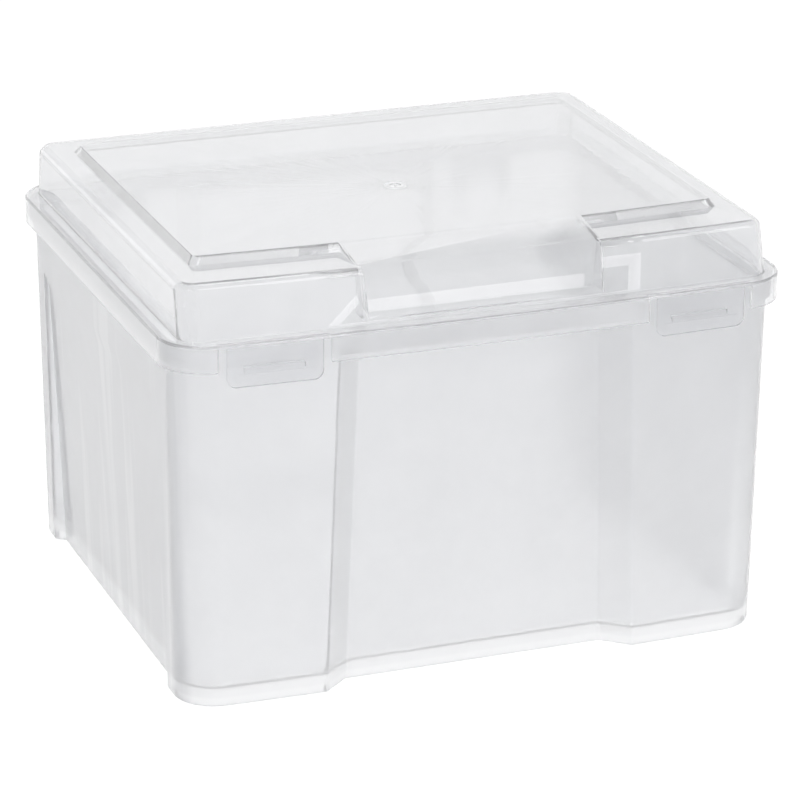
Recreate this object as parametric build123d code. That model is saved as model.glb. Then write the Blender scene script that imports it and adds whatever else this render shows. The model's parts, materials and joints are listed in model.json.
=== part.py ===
from build123d import *
import math
import os

os.makedirs("parts", exist_ok=True)

# Driving sizes in millimetres: Z is up from the feet and +Y runs towards the hinge
lid_width = 320.0
lid_depth = 272.0
lid_corner_radius = 25.0
lid_wall = 1.8
lid_bow = 4.5
skirt_height = 13.5
skirt_edge_radius = 1.2
dome_height = 25.8
dome_corner_radius = 10.0
dome_edge_radius = 4.8
dome_foot_inset = 8.6
dome_front_lean = 6.8
dome_back_lean = 2.5
dome_side_lean = 0.4
dome_root_radius = 1.0
panel_rise = 4.0
panel_draft = 2.4
panel_corner_radius = 4.0
panel_edge_radius = 0.8
panel_side_inset = 23.0
panel_front_inset = 44.5
panel_back_inset = 33.0
panel_bow = 5.0

# The sunk mark that the moulding gate leaves, with its nib
gate_radius = 3.0
gate_depth = 0.5
gate_nib_radius = 0.8
lid_gate_x = -5.0
lid_gate_y = -19.0

# The finger notch in the front of the dome, with the ramp that leads down to it
notch_half_width = 61.0
notch_depth = 17.1
notch_floor_rise = 2.5
notch_side_lean = 1.0
ramp_flare = 2.0
ramp_tip_height = 3.0

# The container, with its walls drawn in between corner pillars
container_height = 186.0
container_wall = 2.0
container_corner_radius = 21.0
body_bow = 3.5
body_taper = 2.0
rim_height = 9.7
rim_wall = 2.0
rim_step = 2.0
rim_edge_bevel = 0.5
rim_clearance = 1.2
seat_gap = 0.2
floor_top = 8.0
floor_thickness = 2.0
floor_fillet = 8.0
foot_radius = 1.6
pillar_edge_radius = 2.6
least_radius = 0.6

# The recesses between the pillars, as half openings at the rim and at the feet
recess_half_opening_rim = 72.0
recess_half_opening_feet = 78.0
recess_depth = 9.0
recess_slant = 10.5
recess_edge_radius = 3.0
side_recess_depth_feet = 5.5
side_recess_depth_top = 2.0
side_recess_runout = 8.0
side_recess_height = 150.0
side_recess_half_length = 100.5
side_recess_slant = 4.0

# The two snap latches on the front of the skirt
latch_spacing = 218.6
latch_width = 47.5
latch_thickness = 1.6
latch_drop = 8.0
latch_corner_radius = 5.0
latch_side_gap = 4.0
latch_top_gap = 0.2
latch_window_top = 1.5
latch_hook_depth = 1.2
latch_hook_width = 30.0
latch_hook_height = 3.4
latch_hook_gap = 0.5
latch_hook_lip = 0.8
latch_hook_root = 0.4
grip_inset = 3.5
grip_height = 4.5
grip_rise = 1.2
grip_corner_radius = 2.0
grip_draft = 20.0
grip_above_edge = 2.6

# The two clip hinges at the back
hinge_spacing = 208.0
hinge_drop = 4.5
hinge_offset = 1.5
pin_radius = 2.0
pin_clearance = 0.06
knuckle_radius = 4.0
knuckle_width = 22.0
knuckle_mouth = 3.4
knuckle_gap = 0.6
ear_thickness = 3.6
ear_radius = 4.0
ear_foot_drop = 26.0
stop_gap = 0.2
stop_reach = 8.0
stop_nose = 3.0
opening_angle = 110.0

# Places worked out from the sizes above
skirt_top = container_height + seat_gap + lid_wall
skirt_bottom = skirt_top - skirt_height
dome_top = skirt_top + dome_height
panel_top = dome_top + panel_rise
rim_inset = lid_wall + rim_clearance
rim_bottom = container_height - rim_height
shelf_top = rim_bottom + container_wall
body_inset_rim = rim_inset + rim_step
body_inset_feet = body_inset_rim + body_taper
hinge_y = lid_depth / 2 + hinge_offset
hinge_z = skirt_bottom - hinge_drop
rear_reach = hinge_y + stop_reach
front_reach = lid_depth / 2 + lid_bow
centre_shift = (front_reach - rear_reach) / 2


def bow_height(x, half_width, bow):
    """How far a bowed front stands ahead of the straight line between its two corners."""
    sweep = (half_width ** 2 + bow ** 2) / (2 * bow)
    return math.sqrt(sweep ** 2 - x ** 2) - (sweep - bow)


def bowed_plate(half_width, front, back, bow):
    """A flat plate with a bowed front side and four sharp corners."""
    left_front = Vector(-half_width, -front)
    right_front = Vector(half_width, -front)
    right_back = Vector(half_width, back)
    left_back = Vector(-half_width, back)
    edges = [
        ThreePointArc(left_front, Vector(0, -front - bow), right_front),
        Line(right_front, right_back),
        Line(right_back, left_back),
        Line(left_back, left_front),
    ]
    return make_face(edges).face()


def rounded_plate(half_width, front, back, radius, bow):
    """A flat plate with a bowed front side and four rounded corners."""
    plate = bowed_plate(half_width, front, back, bow)
    return plate.fillet_2d(radius, plate.vertices())


def lid_plate(wall):
    """The lid's outline, drawn in by a wall, as the rim's outline is too."""
    side = lid_depth / 2 - wall
    return rounded_plate(lid_width / 2 - wall, side, side, lid_corner_radius - wall, lid_bow)


def leaning_block(plate, foot, height, corner_radius, leans):
    """A block on a bowed plate, each side leaning in by its own amount over the height from the foot."""
    block = Pos(0, 0, foot) * extrude(plate, amount=height)
    for direction, lean in leans:
        side = block.faces().sort_by(lambda face: face.normal_at(face.center()).dot(Vector(direction)))[-1]
        block = draft(side, Plane.XY.offset(foot), math.degrees(math.atan(lean / height)))
    upright = [edge for edge in block.edges() if abs(edge.tangent_at(0.5).Z) > 0.7]
    return fillet(upright, corner_radius)


def top_rounded(block, radius):
    """The block with the edges of its top face rounded."""
    return fillet(block.faces().sort_by(Axis.Z)[-1].edges(), radius)


def dome_block(wall):
    """The dome, leaning back most at its front, drawn in by the wall."""
    side = lid_depth / 2 - dome_foot_inset - wall
    plate = bowed_plate(lid_width / 2 - dome_foot_inset - wall, side, side, lid_bow)
    leans = [
        ((-1, 0, 0), dome_side_lean),
        ((1, 0, 0), dome_side_lean),
        ((0, -1, 0), dome_front_lean),
        ((0, 1, 0), dome_back_lean),
    ]
    block = leaning_block(plate, skirt_top - wall, dome_height, dome_corner_radius - wall, leans)
    return top_rounded(block, dome_edge_radius - wall)


def panel_block(wall):
    """The raised panel with its drafted sides, drawn in by the wall."""
    plate = bowed_plate(
        lid_width / 2 - panel_side_inset - wall,
        lid_depth / 2 - panel_front_inset + panel_draft - wall,
        lid_depth / 2 - panel_back_inset - wall,
        panel_bow,
    )
    leans = [(direction, panel_draft) for direction in ((-1, 0, 0), (1, 0, 0), (0, -1, 0), (0, 1, 0))]
    return leaning_block(plate, dome_top - wall, panel_rise, panel_corner_radius, leans)


def body_plate(height, wall):
    """The container's outline at a height, cut in between the pillars at the front and the back."""
    rise = height / rim_bottom
    inset = body_inset_feet + (body_inset_rim - body_inset_feet) * rise
    opening = recess_half_opening_feet + (recess_half_opening_rim - recess_half_opening_feet) * rise
    half_width = lid_width / 2 - inset - wall
    side = lid_depth / 2 - inset - wall
    plane = side - recess_depth
    slope = recess_slant / recess_depth
    inner_x = opening - recess_slant + wall * (math.hypot(1, slope) - slope)
    outer_x = inner_x + recess_slant
    front_x = outer_x + slope * bow_height(outer_x, half_width, body_bow)
    front_y = -side - bow_height(front_x, half_width, body_bow)
    middle_x = (front_x + half_width) / 2
    middle_y = -side - bow_height(middle_x, half_width, body_bow)
    edges = []
    for hand in (1, -1):
        corner_front = Vector(hand * half_width, -side)
        corner_back = Vector(hand * half_width, side)
        pillar_front = Vector(hand * front_x, front_y)
        edges.append(ThreePointArc(pillar_front, Vector(hand * middle_x, middle_y), corner_front))
        edges.append(Line(corner_front, corner_back))
        edges.append(Line(corner_back, Vector(hand * outer_x, side)))
        edges.append(Line(Vector(hand * outer_x, side), Vector(hand * inner_x, plane)))
        edges.append(Line(pillar_front, Vector(hand * inner_x, -plane)))
    edges.append(Line(Vector(-inner_x, plane), Vector(inner_x, plane)))
    edges.append(Line(Vector(-inner_x, -plane), Vector(inner_x, -plane)))
    plate = make_face(edges).face()
    corners = [v for v in plate.vertices() if abs(v.X) > half_width - 1]
    pillar_edges = [v for v in plate.vertices() if abs(v.X) < half_width - 1 and abs(v.Y) > plane + 1]
    recess_edges = [v for v in plate.vertices() if abs(v.X) < half_width - 1 and abs(v.Y) < plane + 1]
    plate = plate.fillet_2d(container_corner_radius - wall, corners)
    plate = refilleted(plate, pillar_edges, max(pillar_edge_radius - wall, least_radius))
    return refilleted(plate, recess_edges, recess_edge_radius + wall)


def refilleted(plate, marks, radius):
    """The plate with its corners at the marked places rounded."""
    corners = [v for v in plate.vertices() if any((Vector(v) - Vector(m)).length < 0.01 for m in marks)]
    return plate.fillet_2d(radius, corners)


def side_recess_depth(height):
    """Depth of the side recess: it gets shallower as it rises, and runs out at its top."""
    runout = side_recess_height - side_recess_runout
    if height > runout:
        return side_recess_depth_top * (side_recess_height - height) / side_recess_runout
    return side_recess_depth_feet + (side_recess_depth_top - side_recess_depth_feet) * height / runout


def side_recess(steps):
    """What is cut away between the side pillars, at steps given as pairs of height and growth inwards."""
    slope = side_recess_slant / side_recess_depth_feet
    outer_x = lid_width / 2
    last_growth = steps[-1][1]
    runout = [(side_recess_height + turn * side_recess_runout, last_growth) for turn in (-1, 1)]
    levels = []
    for height, growth in steps + runout:
        depth = side_recess_depth(height)
        inset = body_inset_feet + (body_inset_rim - body_inset_feet) * height / rim_bottom
        inner_x = lid_width / 2 - inset - depth - growth
        inner_y = side_recess_half_length - slope * depth + growth * (math.hypot(1, slope) - slope)
        outer_y = inner_y + slope * (outer_x - inner_x)
        outline = Polyline(
            (inner_x, -inner_y), (outer_x, -outer_y), (outer_x, outer_y), (inner_x, inner_y), close=True
        )
        levels.append((height, make_face(outline.edges()).face()))
    right = stacked(levels)
    return right + right.mirror(Plane.YZ)


def quarter_round(radius, steps):
    """Pairs of inset and rise that step up through a fillet, from its flat end to its upright end."""
    turns = [math.pi / 2 * step / steps for step in range(steps + 1)]
    return [(radius * (1 - math.sin(turn)), radius * (1 - math.cos(turn))) for turn in turns]


def gate_mark(x, y, z, facing):
    """The sunk ring round a moulding gate's nib, in a face that looks up (1) or down (-1)."""
    ring = Circle(gate_radius) - Circle(gate_nib_radius)
    return Pos(x, y, z) * extrude(ring, amount=-facing * gate_depth)


def stacked(levels):
    """A solid drawn straight from each outline to the next, given as pairs of height and outline."""
    return loft([Pos(0, 0, height) * plate for height, plate in levels], ruled=True)


def prism(points, depth_from, depth_to):
    """A side view outline in Y and Z, drawn along X between two places."""
    outline = Polyline(*[(depth_from, y, z) for y, z in points], close=True)
    face = make_face(outline.edges()).face()
    return extrude(face, amount=depth_to - depth_from, dir=(1, 0, 0))


def make_container():
    """The container: pillared body, stepped rim, raised floor, and the hinge ears with their pins."""
    foot = [(rise, body_plate(rise, inset)) for inset, rise in quarter_round(foot_radius, 2)]
    body = stacked(foot + [(rim_bottom, body_plate(rim_bottom, 0))])
    body -= side_recess([(0, 0)])
    rim_block = Pos(0, 0, rim_bottom) * extrude(lid_plate(rim_inset), amount=rim_height)
    body += chamfer(rim_block.faces().sort_by(Axis.Z)[-1].edges(), rim_edge_bevel)
    inside = [(floor_top + rise, container_wall + inset) for inset, rise in quarter_round(floor_fillet, 3)]
    inside.append((shelf_top, container_wall))
    cavity = stacked([(height, body_plate(height, wall)) for height, wall in inside])
    underside_top = floor_top - floor_thickness
    underside = stacked([
        (0, body_plate(0, container_wall + foot_radius)),
        (underside_top, body_plate(underside_top, container_wall + foot_radius)),
    ])
    body -= cavity - side_recess(inside[:-1])
    body -= underside - side_recess([(0, container_wall + foot_radius)])
    body -= Pos(0, 0, shelf_top) * extrude(lid_plate(rim_inset + rim_wall), amount=rim_height)
    body -= gate_mark(0, 0, underside_top, -1)
    for hand in (1, -1):
        body += hinge_ears(hand * hinge_spacing / 2)
    return body


def hinge_ears(x):
    """A pair of ears on the back wall that carry a moulded pin, with a heel that stops the lid."""
    inner = knuckle_width / 2 + knuckle_gap
    root = lid_depth / 2 - body_inset_rim - container_wall / 2
    heel = hinge_z + stop_height(stop_reach)
    shoulder_reach = ear_radius + knuckle_gap
    shoulder = hinge_z + stop_height(shoulder_reach)
    foot = hinge_z - ear_foot_drop
    ears = None
    for start in (x - inner - ear_thickness, x + inner):
        side = prism(
            [
                (root, hinge_z - pin_radius / 2),
                (hinge_y, hinge_z - pin_radius / 2),
                (hinge_y + shoulder_reach, shoulder),
                (hinge_y + stop_reach, heel),
                (hinge_y + stop_reach, heel - stop_nose),
                (root, foot),
            ],
            start,
            start + ear_thickness,
        )
        disc = Pos(start, hinge_y, hinge_z) * Rot(0, 90, 0) * Cylinder(
            ear_radius, ear_thickness, align=(Align.CENTER, Align.CENTER, Align.MIN)
        )
        neck = Pos(start, root, hinge_z - ear_radius) * Box(
            ear_thickness, hinge_y - root, 1.5 * ear_radius, align=(Align.MIN, Align.MIN, Align.MIN)
        )
        ear = side + disc + neck
        ears = ear if ears is None else ears + ear
    pin = Pos(x - inner - ear_thickness / 2, hinge_y, hinge_z) * Rot(0, 90, 0) * Cylinder(
        pin_radius, 2 * inner + ear_thickness, align=(Align.CENTER, Align.CENTER, Align.MIN)
    )
    return ears + pin


def stop_height(reach):
    """Height above the pin of the heel's slanted top, which the open lid's back comes to rest on."""
    turn = math.radians(opening_angle)
    return (hinge_offset + reach * math.cos(turn)) / math.sin(turn) - stop_gap


def make_lid():
    """The lid: one thin skin of skirt, ledge, dome and raised panel, with hinge hooks at the back."""
    skirt = Pos(0, 0, skirt_bottom) * extrude(lid_plate(0), amount=skirt_height)
    outside = top_rounded(skirt, skirt_edge_radius)
    inside = Pos(0, 0, skirt_bottom) * extrude(lid_plate(lid_wall), amount=skirt_height - lid_wall)
    dome = dome_block(0)
    foot = dome.faces().sort_by(Axis.Z)[0].edges()
    shell = outside + dome
    places = [edge.center() for edge in foot]
    creases = [e for e in shell.edges() if any((e.center() - place).length < 0.01 for place in places)]
    shell = fillet(creases, dome_root_radius)
    lid = shell + top_rounded(panel_block(0), panel_edge_radius) + ramp(0) - finger_notch(0)
    lid -= inside + (dome_block(lid_wall) + panel_block(lid_wall) + ramp(lid_wall) - finger_notch(lid_wall))
    lid -= gate_mark(lid_gate_x, lid_gate_y, panel_top, 1)
    for hand in (1, -1):
        lid -= latch_window(hand)
        lid += hinge_hook(hand * hinge_spacing / 2)
    return lid


def ramp(wall):
    """The ramp from the panel's front edge down to the notch, drawn in below and at its sides."""
    tip = -lid_depth / 2 + notch_depth
    top_edge = -lid_depth / 2 + panel_front_inset - panel_bow
    back = top_edge + 2 * panel_bow
    half = notch_half_width + ramp_flare - wall
    return prism(
        [
            (tip, dome_top - ramp_tip_height - wall),
            (tip, dome_top - wall),
            (top_edge, panel_top - wall),
            (back, panel_top - wall),
            (back, dome_top - ramp_tip_height - wall),
        ],
        -half,
        half,
    )


def finger_notch(wall):
    """The space cut out of the dome's front below the ramp, grown by the wall behind it."""
    back = -lid_depth / 2 + notch_depth + wall
    bottom = skirt_top + notch_floor_rise - wall
    half = notch_half_width + wall
    narrow = half - notch_side_lean
    above = panel_top + panel_rise
    outline = Polyline(
        (-narrow, bottom), (narrow, bottom), (half, dome_top),
        (half, above), (-half, above), (-half, dome_top), close=True,
    )
    face = Pos(0, back, 0) * Rot(90, 0, 0) * make_face(outline.edges()).face()
    return extrude(face, amount=notch_depth + 2 * lid_bow, dir=(0, -1, 0))


def latch_frame(hand):
    """The latch's own frame: X along the bowed skirt, Y inwards, its origin on the skirt's outer face."""
    x = hand * latch_spacing / 2
    y = -lid_depth / 2 - bow_height(x, lid_width / 2, lid_bow)
    sweep = ((lid_width / 2) ** 2 + lid_bow ** 2) / (2 * lid_bow)
    turn = math.degrees(math.asin(x / sweep))
    return Pos(x, y, 0) * Rot(0, 0, turn)


def latch_window(hand):
    """The opening in the skirt that the latch hangs in, open at the skirt's lower edge."""
    width = latch_width + 2 * latch_side_gap
    height = skirt_height - latch_window_top
    block = Box(width, 6 * lid_wall, height + latch_drop, align=(Align.CENTER, Align.CENTER, Align.MAX))
    return latch_frame(hand) * Pos(0, 0, skirt_top - latch_window_top) * block


def make_latch(hand):
    """A snap latch: a plate with rounded lower corners, a hook that goes under the rim and a grip."""
    top = skirt_top - latch_window_top - latch_top_gap
    pivot = top - latch_thickness / 2
    bottom = skirt_bottom - latch_drop
    plate = RectangleRounded(latch_width, pivot - bottom, latch_corner_radius)
    square_top = Rectangle(latch_width, (pivot - bottom) / 2)
    outline = plate + Pos(0, (pivot - bottom) / 4) * square_top
    flat = extrude(Rot(90, 0, 0) * outline, amount=latch_thickness, dir=(0, 1, 0))
    latch = Pos(0, 0, (pivot + bottom) / 2) * flat
    roll = Pos(0, latch_thickness / 2, pivot) * Rot(0, 90, 0) * Cylinder(latch_thickness / 2, latch_width)
    latch += roll
    hook_top = rim_bottom - latch_hook_gap
    hook_tip = rim_inset + latch_hook_depth
    hook = prism(
        [
            (latch_thickness - latch_hook_root, hook_top),
            (hook_tip, hook_top),
            (hook_tip, hook_top - latch_hook_lip),
            (latch_thickness - latch_hook_root, hook_top - latch_hook_height),
        ],
        -latch_hook_width / 2,
        latch_hook_width / 2,
    )
    bar = RectangleRounded(latch_width - 2 * grip_inset, grip_height, grip_corner_radius)
    grip_middle = bottom + grip_above_edge + grip_height / 2
    grip = Pos(0, 0, grip_middle) * Rot(90, 0, 0) * extrude(bar, amount=grip_rise, taper=grip_draft)
    return latch_frame(hand) * (latch + hook + grip)


def hinge_hook(x):
    """A hook that hangs from the back of the skirt and snaps over the pin from above."""
    hook = Pos(x, hinge_y, hinge_z) * Rot(0, 90, 0) * Cylinder(knuckle_radius, knuckle_width)
    neck_front = lid_depth / 2 - lid_wall
    neck = Pos(x, neck_front, hinge_z) * Box(
        knuckle_width,
        hinge_y + knuckle_radius - neck_front,
        hinge_drop + knuckle_radius,
        align=(Align.CENTER, Align.MIN, Align.MIN),
    )
    through = knuckle_width + 2 * knuckle_gap
    bore = Pos(x, hinge_y, hinge_z) * Rot(0, 90, 0) * Cylinder(pin_radius + pin_clearance, through)
    mouth = Pos(x, hinge_y, hinge_z) * Box(
        through, knuckle_mouth, 2 * knuckle_radius, align=(Align.CENTER, Align.CENTER, Align.MAX)
    )
    return hook + neck - bore - mouth


placed = Pos(0, centre_shift, 0)
nodes = {
    "container": make_container(),
    "lid": make_lid(),
    "latch_left": make_latch(-1),
    "latch_right": make_latch(1),
}
for name, solid in nodes.items():
    export_step(placed * solid, f"parts/{name}.step")
print("hinge", hinge_y + centre_shift, hinge_z, "shift", centre_shift)
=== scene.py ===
import json
import math

import bpy
from mathutils import Matrix, Vector

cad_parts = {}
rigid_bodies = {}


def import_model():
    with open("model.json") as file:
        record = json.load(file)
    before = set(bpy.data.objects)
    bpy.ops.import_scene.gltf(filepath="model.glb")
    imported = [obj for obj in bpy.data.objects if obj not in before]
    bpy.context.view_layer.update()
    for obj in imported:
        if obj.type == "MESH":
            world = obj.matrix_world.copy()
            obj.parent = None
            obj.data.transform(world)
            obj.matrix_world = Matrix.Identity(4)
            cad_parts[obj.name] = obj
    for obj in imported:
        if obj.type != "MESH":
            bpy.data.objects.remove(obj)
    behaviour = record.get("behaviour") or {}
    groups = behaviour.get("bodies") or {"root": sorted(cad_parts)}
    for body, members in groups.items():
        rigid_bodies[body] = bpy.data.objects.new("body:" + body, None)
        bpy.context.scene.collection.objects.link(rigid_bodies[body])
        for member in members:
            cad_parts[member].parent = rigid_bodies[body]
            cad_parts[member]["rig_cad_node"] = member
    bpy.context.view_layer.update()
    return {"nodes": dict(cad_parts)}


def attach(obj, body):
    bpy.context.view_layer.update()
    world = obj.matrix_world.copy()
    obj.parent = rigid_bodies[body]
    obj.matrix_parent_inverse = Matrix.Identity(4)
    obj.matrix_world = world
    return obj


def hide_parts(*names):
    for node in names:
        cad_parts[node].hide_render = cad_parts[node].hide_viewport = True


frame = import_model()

# Container: one injection moulding of clear polypropylene about 2 mm thick, with a gate under its floor.
# It is faintly milky, most of all at the thick foot of the walls, so what stands behind a wall looks soft.
# The skin is glossy and its outer edges are broken to half a millimetre.
container_edge = 0.0005
container_gate = (0.0, -0.0025, 0.006)
container_haze = 0.25
container_roughness = (0.29, 0.37)
container_depth = 0.178
container_foot = 0.0075


def clear_polypropylene(name, haze, roughness, gate, depth=None, foot=None):
    """Milky clear plastic with a milkier gate spot, flow marks running out from it, clouds and polish lines.

    A deep moulding is lighter in colour towards its floor and darker towards its top, and milkier in a band
    at the height foot, where the floor joins the walls. Its side walls carry drag lines. The relief is in
    millimetres."""
    plastic = bpy.data.materials.new(name)
    plastic.use_nodes = True
    nodes, links = plastic.node_tree.nodes, plastic.node_tree.links
    millimetre = 0.001
    gate_clearness = 0.2
    foot_haze = 0.7
    skin = nodes["Principled BSDF"]
    skin.inputs["IOR"].default_value = 1.25
    skin.inputs["Coat Weight"].default_value = 0.8
    skin.inputs["Coat Roughness"].default_value = 0.05
    coordinates = nodes.new("ShaderNodeTexCoord")
    place = coordinates.outputs["Object"]

    def noise(source, scale, detail):
        texture = nodes.new("ShaderNodeTexNoise")
        texture.inputs["Scale"].default_value = scale
        texture.inputs["Detail"].default_value = detail
        links.new(source, texture.inputs["Vector"])
        return texture.outputs["Fac"]

    def stretched(source, stretch):
        mapping = nodes.new("ShaderNodeMapping")
        mapping.inputs["Scale"].default_value = stretch
        links.new(source, mapping.inputs["Vector"])
        return mapping.outputs["Vector"]

    def ranged(source, source_low, source_high, low, high):
        spread = nodes.new("ShaderNodeMapRange")
        spread.inputs["From Min"].default_value = source_low
        spread.inputs["From Max"].default_value = source_high
        spread.inputs["To Min"].default_value = low
        spread.inputs["To Max"].default_value = high
        links.new(source, spread.inputs["Value"])
        return spread.outputs["Result"]

    def added(first, second):
        total = nodes.new("ShaderNodeMath")
        total.operation = "ADD"
        links.new(first, total.inputs[0])
        links.new(second, total.inputs[1])
        return total.outputs["Value"]

    def multiplied(first, second):
        product = nodes.new("ShaderNodeMath")
        product.operation = "MULTIPLY"
        links.new(first, product.inputs[0])
        links.new(second, product.inputs[1])
        return product.outputs["Value"]

    def size_of(source):
        positive = nodes.new("ShaderNodeMath")
        positive.operation = "ABSOLUTE"
        links.new(source, positive.inputs[0])
        return positive.outputs["Value"]

    from_gate = nodes.new("ShaderNodeMapping")
    from_gate.inputs["Location"].default_value = [-value for value in gate]
    links.new(place, from_gate.inputs["Vector"])
    outward = nodes.new("ShaderNodeVectorMath")
    outward.operation = "NORMALIZE"
    links.new(from_gate.outputs["Vector"], outward.inputs[0])
    flow = noise(outward.outputs["Vector"], 16, 2)
    cloud = noise(place, 30, 3)
    polish = noise(stretched(place, (420, 420, 9)), 1, 2)
    wave = noise(place, 9, 1)

    away = nodes.new("ShaderNodeVectorMath")
    away.operation = "LENGTH"
    links.new(from_gate.outputs["Vector"], away.inputs[0])
    clearness = ranged(away.outputs["Value"], 0.002, 0.007, gate_clearness, 1 - haze)
    tone = ranged(added(cloud, flow), 0.7, 1.3, 0.56, 0.76)
    if depth:
        place_axes = nodes.new("ShaderNodeSeparateXYZ")
        links.new(place, place_axes.inputs["Vector"])
        facing_axes = nodes.new("ShaderNodeSeparateXYZ")
        links.new(coordinates.outputs["Normal"], facing_axes.inputs["Vector"])
        drag_lines = noise(stretched(place, (75, 75, 4)), 1, 3)
        sideways = ranged(size_of(facing_axes.outputs["X"]), 0.7, 0.95, 0, 1)
        drag = multiplied(ranged(drag_lines, 0.35, 0.65, -1.7, 0), sideways)
        # The colour grows lighter towards the floor and darker towards the top.
        tone = added(tone, ranged(place_axes.outputs["Z"], 0, depth, 0.36, -0.12))
        tone = added(tone, drag)
        upright = ranged(size_of(facing_axes.outputs["Z"]), 0.3, 0.6, 1, 0)
        above_foot = nodes.new("ShaderNodeMath")
        above_foot.operation = "SUBTRACT"
        above_foot.inputs[1].default_value = foot
        links.new(place_axes.outputs["Z"], above_foot.inputs[0])
        band = ranged(size_of(above_foot.outputs["Value"]), 0.0018, 0.0032, -foot_haze, 0)
        clearness = added(clearness, multiplied(band, upright))
    milk = nodes.new("ShaderNodeMix")
    milk.data_type = "RGBA"
    milk.inputs["A"].default_value = (0.77, 0.775, 0.79, 1)
    milk.inputs["B"].default_value = (0.92, 0.923, 0.932, 1)
    links.new(tone, milk.inputs["Factor"])
    links.new(milk.outputs["Result"], skin.inputs["Base Color"])
    links.new(clearness, skin.inputs["Transmission Weight"])

    dull = ranged(added(cloud, flow), 0.6, 1.4, roughness[0], roughness[1])
    links.new(dull, skin.inputs["Roughness"])

    relief = nodes.new("ShaderNodeBump")
    relief.inputs["Strength"].default_value = 1
    relief.inputs["Distance"].default_value = millimetre
    height = added(ranged(wave, 0, 1, 0, 0.1), ranged(flow, 0, 1, 0, 0.06))
    height = added(height, ranged(polish, 0, 1, 0, 0.004))
    links.new(height, relief.inputs["Height"])
    links.new(relief.outputs["Normal"], skin.inputs["Normal"])

    unseen = nodes.new("ShaderNodeBsdfTransparent")
    unseen.inputs["Color"].default_value = (0.96, 0.96, 0.96, 1)
    ray = nodes.new("ShaderNodeLightPath")
    shade = nodes.new("ShaderNodeMixShader")
    links.new(ray.outputs["Is Shadow Ray"], shade.inputs["Fac"])
    links.new(skin.outputs["BSDF"], shade.inputs[1])
    links.new(unseen.outputs["BSDF"], shade.inputs[2])
    links.new(shade.outputs["Shader"], nodes["Material Output"].inputs["Surface"])
    return plastic


def moulded_shell(node_name, edge_radius, material):
    """A merged, smooth copy of a moulding that stands for it, its edges broken if a radius is given."""
    weld_distance = 0.000005
    bevel_weld_distance = 0.000002
    flat_angle = math.radians(0.3)
    corner_angle = math.radians(25)
    crease_angle = math.radians(30)
    bpy.ops.object.select_all(action="DESELECT")
    node = frame["nodes"][node_name]
    node.select_set(True)
    bpy.context.view_layer.objects.active = node
    bpy.ops.object.duplicate()
    shell = bpy.context.object
    shell.name = node_name + "_moulding"
    del shell["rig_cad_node"]
    bpy.ops.object.mode_set(mode="EDIT")
    bpy.ops.mesh.select_all(action="SELECT")
    bpy.ops.mesh.remove_doubles(threshold=weld_distance)
    bpy.ops.mesh.dissolve_limited(angle_limit=flat_angle)
    bpy.ops.object.mode_set(mode="OBJECT")
    if edge_radius:
        broken = shell.modifiers.new("broken edges", "BEVEL")
        broken.width = edge_radius
        broken.segments = 2
        broken.limit_method = "ANGLE"
        broken.angle_limit = corner_angle
        bpy.ops.object.modifier_apply(modifier=broken.name)
        bpy.ops.object.mode_set(mode="EDIT")
        bpy.ops.mesh.select_all(action="SELECT")
        bpy.ops.mesh.remove_doubles(threshold=bevel_weld_distance)
        bpy.ops.object.mode_set(mode="OBJECT")
    bpy.ops.object.shade_smooth_by_angle(angle=crease_angle)
    even = shell.modifiers.new("even walls", "WEIGHTED_NORMAL")
    even.keep_sharp = True
    bpy.ops.object.modifier_apply(modifier=even.name)
    shell.data.materials.clear()
    shell.data.materials.append(material)
    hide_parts(node_name)
    return shell


container_plastic = clear_polypropylene(
    "container_plastic",
    container_haze,
    container_roughness,
    container_gate,
    container_depth,
    container_foot,
)
container = moulded_shell("container", container_edge, container_plastic)
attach(container, "container")

# Lid: a second moulding of the same plastic, 1.8 mm thick, with its gate on the raised panel. Its tool is
# polished higher than the container's, so it is clearer and shows the rim and pillars below it.
# Two hooks at its back clip over the container's pins.
lid_gate = (-0.005, -0.0215, 0.217)
lid_haze = 0.2
lid_roughness = (0.03, 0.06)
lid_plastic = clear_polypropylene("lid_plastic", lid_haze, lid_roughness, lid_gate)
lid = moulded_shell("lid", None, lid_plastic)
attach(lid, "lid")

# Latches: two snap tabs moulded with the lid, bending at their thin top edge. Each has a hook behind and a
# raised grip in front, and its corners are broken to 0.3 mm. They are the clearest of the pieces.
latch_edge = 0.0003
latch_haze = 0.05
latch_plastic = clear_polypropylene("latch_plastic", latch_haze, lid_roughness, lid_gate)
for latch_name in ("latch_left", "latch_right"):
    latch = moulded_shell(latch_name, latch_edge, latch_plastic)
    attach(latch, latch_name)

# Floor: a white paper sheet under the box. It glows for looking rays, so that it is pure white to the eye
# and through the plastic, and still takes the box's soft shadow.
floor_size = 8
floor_drop = 0.0005
glow_strength = 1.17
glow_share = 0.75
bpy.ops.mesh.primitive_plane_add(size=floor_size, location=(0, 0, -floor_drop))
floor = bpy.context.object
floor.name = "floor"


def looking_ray(nodes, links):
    """1 for rays from the eye, also mirrored or through plastic, and 0 for the light on surfaces."""
    ray = nodes.new("ShaderNodeLightPath")
    seen = ray.outputs["Is Camera Ray"]
    for kind in ("Is Glossy Ray", "Is Transmission Ray"):
        either = nodes.new("ShaderNodeMath")
        either.operation = "MAXIMUM"
        links.new(seen, either.inputs[0])
        links.new(ray.outputs[kind], either.inputs[1])
        seen = either.outputs["Value"]
    return seen


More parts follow.
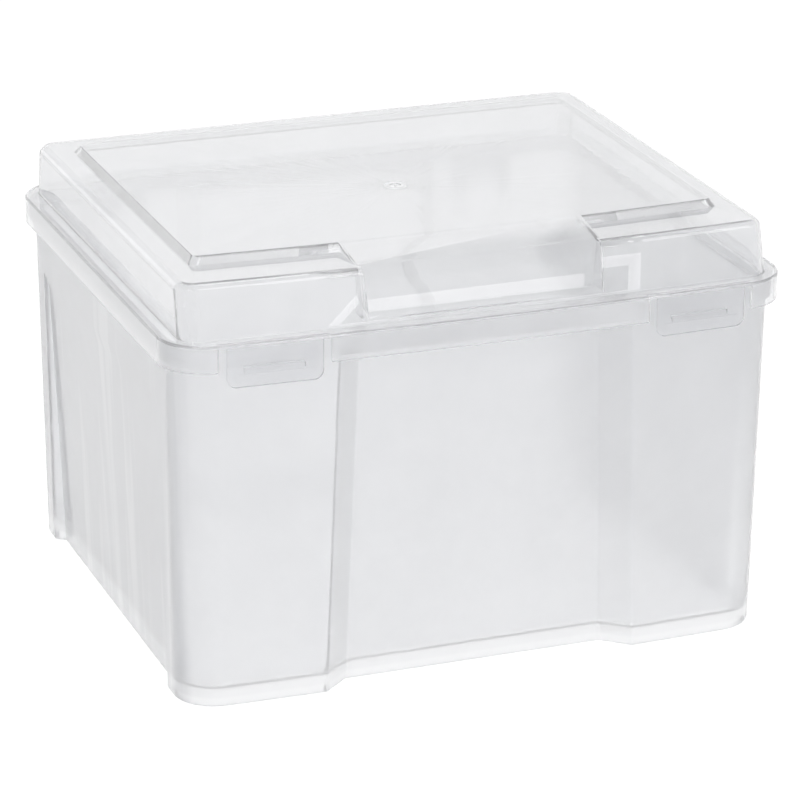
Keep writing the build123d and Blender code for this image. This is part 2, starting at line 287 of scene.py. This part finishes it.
paper = bpy.data.materials.new("white_paper")
paper.use_nodes = True
nodes, links = paper.node_tree.nodes, paper.node_tree.links
sheet = nodes["Principled BSDF"]
sheet.inputs["Base Color"].default_value = (0.8, 0.8, 0.8, 1)
sheet.inputs["Roughness"].default_value = 0.9
glow = nodes.new("ShaderNodeEmission")
glow.inputs["Strength"].default_value = glow_strength
share = nodes.new("ShaderNodeMath")
share.operation = "MULTIPLY"
share.inputs[1].default_value = glow_share
links.new(looking_ray(nodes, links), share.inputs[0])
seen_white = nodes.new("ShaderNodeMixShader")
links.new(share.outputs["Value"], seen_white.inputs["Fac"])
links.new(sheet.outputs["BSDF"], seen_white.inputs[1])
links.new(glow.outputs["Emission"], seen_white.inputs[2])
links.new(seen_white.outputs["Shader"], nodes["Material Output"].inputs["Surface"])
floor.data.materials.append(paper)

# Room: a white studio that gives most of the light, with soft lamps that draw the highlights. It looks pure
# white round the box and dark overhead, which gives the plastic a ceiling to mirror.
room_light = 0.7
ceiling_light = 0.15
world = bpy.data.worlds.new("studio")
world.use_nodes = True
bpy.context.scene.world = world
nodes, links = world.node_tree.nodes, world.node_tree.links
level = nodes.new("ShaderNodeMix")
level.data_type = "FLOAT"
level.inputs["A"].default_value = room_light
links.new(looking_ray(nodes, links), level.inputs["Factor"])
direction = nodes.new("ShaderNodeTexCoord")
direction_axes = nodes.new("ShaderNodeSeparateXYZ")
links.new(direction.outputs["Generated"], direction_axes.inputs["Vector"])
ceiling = nodes.new("ShaderNodeMapRange")
ceiling.interpolation_type = "SMOOTHSTEP"
ceiling.inputs["From Min"].default_value = 0.42
ceiling.inputs["From Max"].default_value = 0.65
ceiling.inputs["To Min"].default_value = 1
ceiling.inputs["To Max"].default_value = ceiling_light
links.new(direction_axes.outputs["Z"], ceiling.inputs["Value"])
links.new(ceiling.outputs["Result"], level.inputs["B"])
nodes["Background"].inputs["Color"].default_value = (1, 1, 1, 1)
links.new(level.outputs["Result"], nodes["Background"].inputs["Strength"])

lamp_target = (0, 0, 0.2)
lamps = {
    "key": ((-1.1, -1.3, 1.6), 0.7, 0.7, 8),
    "top": ((0.1, 0.4, 2.2), 1.0, 1.0, 8),
    "front_strip": ((0.74, -1.46, 1.46), 1.1, 0.9, 9),
    "back_strip": ((-0.92, 1.77, 0.62), 0.4, 0.7, 0.6),
}
for lamp_name, (lamp_place, width, height, power) in lamps.items():
    bpy.ops.object.light_add(type="AREA", location=lamp_place)
    lamp = bpy.context.object
    lamp.name = lamp_name
    lamp.data.shape = "RECTANGLE"
    lamp.data.size = width
    lamp.data.size_y = height
    lamp.data.energy = power
    lamp.visible_camera = False
    lamp.visible_transmission = False
    aim = Vector(lamp_target) - Vector(lamp_place)
    lamp.rotation_euler = aim.to_track_quat("-Z", "Y").to_euler()

# Camera: a long lens from the front left, well above the lid. A ray crosses many walls on its way, so it
# may be bent and mirrored often before it ends.
camera_place = (-0.6564, -1.7391, 0.7967)
camera_yaw = 0.3642
camera_pitch = 0.3611
camera_roll = 0.0073
sensor_width = 36
focal_length = 173.2
light_bounces = 24
bpy.ops.object.camera_add()
camera = bpy.context.object
camera.name = "camera"
turn = Matrix.Rotation(-camera_yaw, 4, "Z") @ Matrix.Rotation(math.pi / 2 - camera_pitch, 4, "X")
camera.matrix_world = Matrix.Translation(camera_place) @ turn @ Matrix.Rotation(camera_roll, 4, "Z")
camera.data.sensor_width = sensor_width
camera.data.lens = focal_length
camera.data.clip_start = 0.01
scene = bpy.context.scene
scene.camera = camera
scene.cycles.max_bounces = light_bounces
scene.cycles.transmission_bounces = light_bounces
scene.cycles.transparent_max_bounces = light_bounces
scene.view_settings.view_transform = "Standard"
